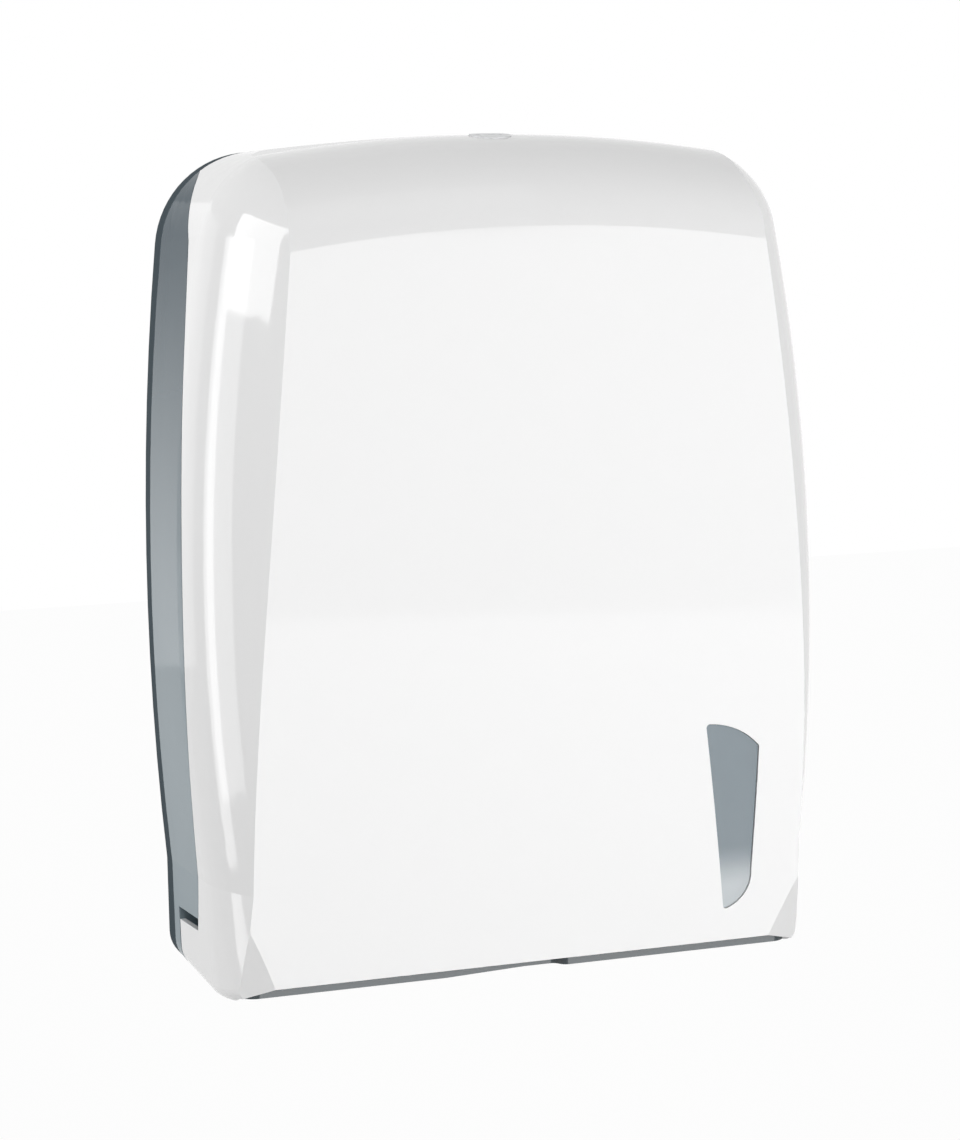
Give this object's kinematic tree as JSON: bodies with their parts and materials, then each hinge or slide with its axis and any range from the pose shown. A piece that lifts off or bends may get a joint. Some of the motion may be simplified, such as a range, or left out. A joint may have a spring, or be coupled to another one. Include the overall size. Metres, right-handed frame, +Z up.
{
  "type": "folded hand towel dispenser",
  "caption": "Wall-mounted cabinet for folded paper hand towels, with a cover that hinges down at the foot, a sprung key latch and a slot in the underside.",
  "frame": {"origin": "centre of the four wall-screw holes, on the wall plane", "axes": "+X to the right seen from the front, +Y into the wall, +Z up"},
  "size_m": [0.3, 0.124, 0.3834],
  "materials": {
    "white_shell": "gloss white ABS",
    "smoke_shell": "smoky translucent ABS, gloss",
    "grey_plastic": "grey ABS, satin",
    "white_plastic": "white polystyrene, satin",
    "steel": "zinc plated steel",
    "black_plastic": "black acetal, satin"
  },
  "bodies": {
    "case": {"back_case": "smoke_shell", "outlet_tray": "smoke_shell", "tray_screws": "steel", "towel_guide_left": "white_plastic", "towel_guide_right": "white_plastic", "guide_screws": "steel", "hinge_pin_left": "steel", "hinge_pin_right": "steel", "catch_bracket": "steel", "catch_screws": "steel"},
    "cover": {"front_cover": "white_shell", "window_lens": "smoke_shell", "window_push_nuts": "steel", "key_plate": "white_plastic", "lock_housing": "grey_plastic", "housing_screws": "steel", "housing_lid": "grey_plastic", "lid_screws": "steel", "latch_spring": "steel"},
    "latch": {"latch_bolt": "black_plastic"}
  },
  "joints": [
    {"name": "cover_hinge", "type": "hinge", "parent": "case", "child": "cover", "pos_m": [0, -0.03, -0.185], "axis": [1, 0, 0], "range_deg": [0, 90]},
    {"name": "latch_slide", "type": "slide", "parent": "cover", "child": "latch", "axis": [0, 0, -1], "range_m": [0, 0.005], "stiffness_N_per_m": 300, "springref_m": -0.003, "deforming": ["latch_spring"]}
  ]
}
